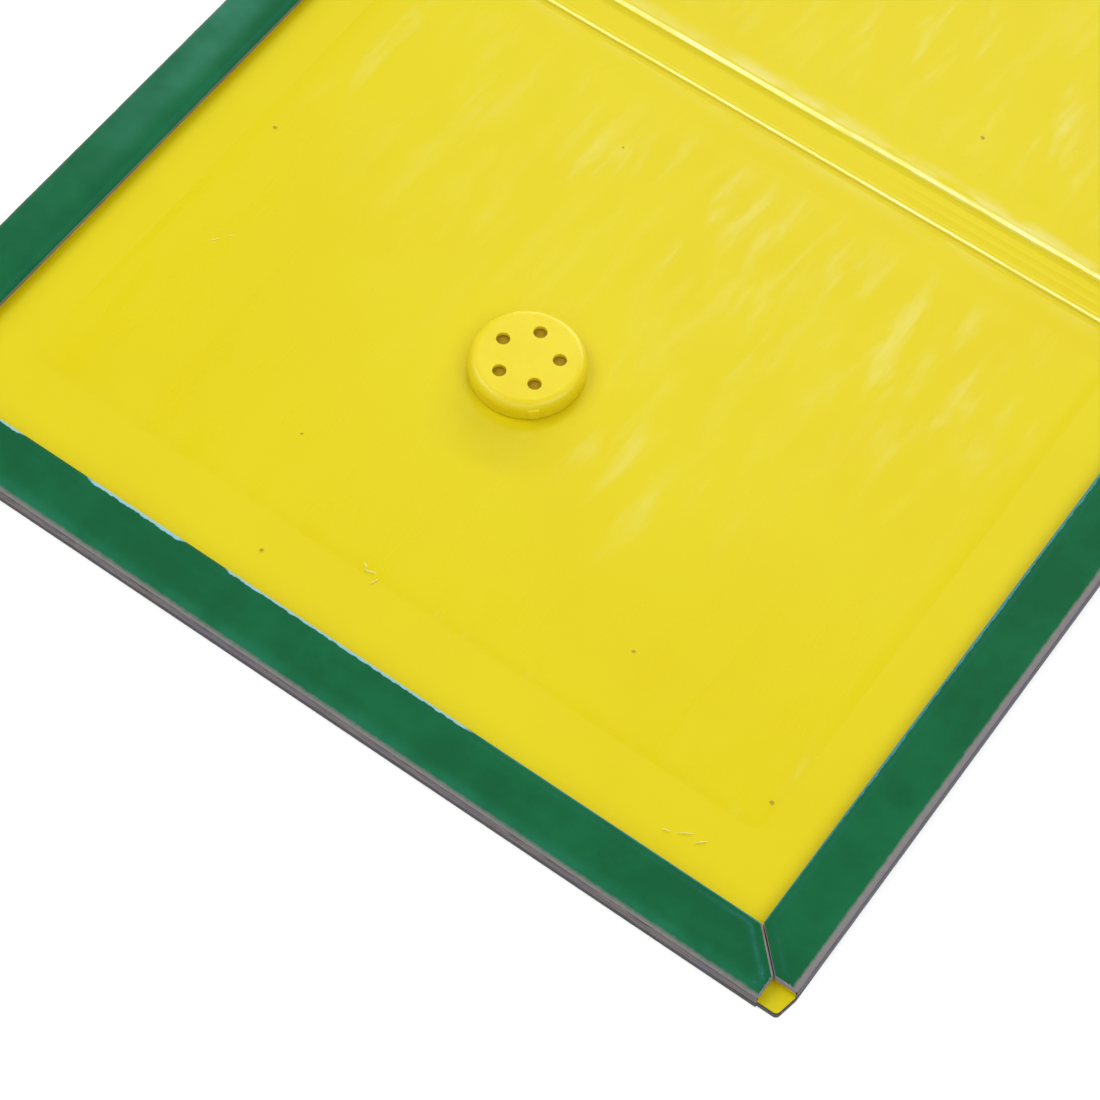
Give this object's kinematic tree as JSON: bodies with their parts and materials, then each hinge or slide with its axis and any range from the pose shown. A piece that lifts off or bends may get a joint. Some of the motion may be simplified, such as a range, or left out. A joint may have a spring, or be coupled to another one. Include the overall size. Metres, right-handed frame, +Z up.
{
  "type": "pheromone insect trap",
  "caption": "Folding sticky card trap that lies open like a book, with green flaps folded in as a border round yellow glue panels and a round vented lure.",
  "frame": {"origin": "underside of the opened trap, at the middle of its length and width", "axes": "+X along the creases, +Y from the near panel (with the lure) to the far panel, +Z up from the resting face"},
  "size_m": [0.21, 0.3184, 0.0061],
  "materials": {
    "green_print": "satin printed and varnished paper",
    "grey_board": "matte cut chipboard",
    "yellow_lining": "gloss coated paper",
    "clear_glue": "wet clear pressure-sensitive glue over yellow",
    "lure_plastic": "satin moulded plastic",
    "wafer_felt": "matte pressed felt"
  },
  "bodies": {
    "near_panel": {"near_panel_printed_paper": "green_print", "near_panel_core_board": "grey_board", "near_panel_yellow_lining": "yellow_lining", "near_glue_bed": "clear_glue"},
    "near_end_flap": {"near_end_flap_printed_paper": "green_print", "near_end_flap_core_board": "grey_board", "near_end_flap_yellow_lining": "yellow_lining"},
    "near_left_flap": {"near_left_flap_printed_paper": "green_print", "near_left_flap_core_board": "grey_board", "near_left_flap_yellow_lining": "yellow_lining"},
    "near_right_flap": {"near_right_flap_printed_paper": "green_print", "near_right_flap_core_board": "grey_board", "near_right_flap_yellow_lining": "yellow_lining"},
    "spine": {"spine_printed_paper": "green_print", "spine_core_board": "grey_board", "spine_yellow_lining": "yellow_lining"},
    "far_panel": {"far_panel_printed_paper": "green_print", "far_panel_core_board": "grey_board", "far_panel_yellow_lining": "yellow_lining", "far_glue_bed": "clear_glue"},
    "far_end_flap": {"far_end_flap_printed_paper": "green_print", "far_end_flap_core_board": "grey_board", "far_end_flap_yellow_lining": "yellow_lining"},
    "far_left_flap": {"far_left_flap_printed_paper": "green_print", "far_left_flap_core_board": "grey_board", "far_left_flap_yellow_lining": "yellow_lining"},
    "far_right_flap": {"far_right_flap_printed_paper": "green_print", "far_right_flap_core_board": "grey_board", "far_right_flap_yellow_lining": "yellow_lining"},
    "lure_dish": {"lure_dish": "lure_plastic", "pheromone_wafer": "wafer_felt"},
    "lure_cap": {"lure_cap": "lure_plastic"}
  },
  "joints": [
    {"name": "near_crease", "type": "hinge", "parent": "near_panel", "child": "spine", "pos_m": [0, -0.00415, 0.0016], "axis": [-1, 0, 0], "range_deg": [-90, 0]},
    {"name": "far_crease", "type": "hinge", "parent": "spine", "child": "far_panel", "pos_m": [0, 0.00415, 0.0016], "axis": [-1, 0, 0], "range_deg": [-90, 0]},
    {"name": "near_end_flap_fold", "type": "hinge", "parent": "near_panel", "child": "near_end_flap", "pos_m": [0, -0.15915, 0.0022], "axis": [1, 0, 0], "range_deg": [0, 180]},
    {"name": "near_left_flap_fold", "type": "hinge", "parent": "near_panel", "child": "near_left_flap", "pos_m": [-0.105, -0.08165, 0.0022], "axis": [0, -1, 0], "range_deg": [0, 180]},
    {"name": "near_right_flap_fold", "type": "hinge", "parent": "near_panel", "child": "near_right_flap", "pos_m": [0.105, -0.08165, 0.0022], "axis": [0, 1, 0], "range_deg": [0, 180]},
    {"name": "far_end_flap_fold", "type": "hinge", "parent": "far_panel", "child": "far_end_flap", "pos_m": [0, 0.15915, 0.0022], "axis": [-1, 0, 0], "range_deg": [0, 180]},
    {"name": "far_left_flap_fold", "type": "hinge", "parent": "far_panel", "child": "far_left_flap", "pos_m": [-0.105, 0.08165, 0.0022], "axis": [0, -1, 0], "range_deg": [0, 180]},
    {"name": "far_right_flap_fold", "type": "hinge", "parent": "far_panel", "child": "far_right_flap", "pos_m": [0.105, 0.08165, 0.0022], "axis": [0, 1, 0], "range_deg": [0, 180]},
    {"name": "lure_lift", "type": "slide", "parent": "near_panel", "child": "lure_dish", "axis": [0, 0, 1], "range_m": [0, 0.06]},
    {"name": "lure_cap_lift", "type": "slide", "parent": "lure_dish", "child": "lure_cap", "axis": [0, 0, 1], "range_m": [0, 0.03]}
  ]
}
